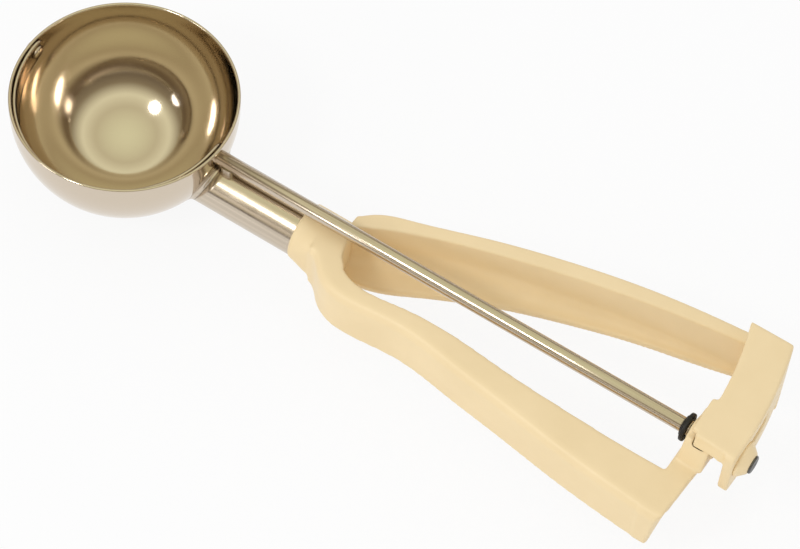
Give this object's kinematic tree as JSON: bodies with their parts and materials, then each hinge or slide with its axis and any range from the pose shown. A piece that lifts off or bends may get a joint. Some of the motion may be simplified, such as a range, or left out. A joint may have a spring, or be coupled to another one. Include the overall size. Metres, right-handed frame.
{
  "type": "lever ice cream scoop",
  "caption": "Squeeze-handled ice cream scoop: round steel bowl on a tube, with a sweeping blade turned by a long rod, a pinion and an arched rack in the handle.",
  "frame": {"origin": "centre of the bowl's ball, on the axis that the rod turns about", "axes": "+X along the rod from the bowl to the handle's end, +Z out of the bowl's mouth, +Y towards the finger arm"},
  "size_m": [0.2584, 0.0769, 0.0428],
  "materials": {
    "polished_steel": "mirror-polished stainless steel",
    "drawn_steel": "drawn and polished stainless tube and rod",
    "ivory_plastic": "moulded ivory plastic, satin gloss",
    "black_plastic": "black moulded nylon",
    "grey_steel": "dull spring steel"
  },
  "bodies": {
    "frame": {"bowl": "polished_steel", "blade_pivot_rivet": "polished_steel", "shank_tube": "drawn_steel", "shank_braze": "drawn_steel", "rod_saddle": "drawn_steel", "handle_body": "ivory_plastic"},
    "squeeze": {"squeeze_arm": "ivory_plastic", "rack_bar": "ivory_plastic", "crown_rack": "ivory_plastic"},
    "ejector": {"ejector_rod": "drawn_steel", "ejector_blade": "polished_steel", "blade_end_rivet": "polished_steel", "thrust_washer": "black_plastic", "pinion": "black_plastic", "rod_end_cap": "ivory_plastic", "retaining_ring": "grey_steel"}
  },
  "joints": [
    {"name": "squeeze_arm_flex", "type": "hinge", "parent": "frame", "child": "squeeze", "pos_m": [0.078, 0, -0.013], "axis": [0, 0, -1], "range_deg": [0, 5.64], "stiffness_Nm_per_rad": 5},
    {"name": "rod_turn", "type": "hinge", "parent": "frame", "child": "ejector", "pos_m": [0, 0, 0], "axis": [1, 0, 0], "range_deg": [0, 164.01]}
  ],
  "couplings": [
    {"joint": "rod_turn", "follows": "squeeze_arm_flex", "ratio": 29.068}
  ]
}
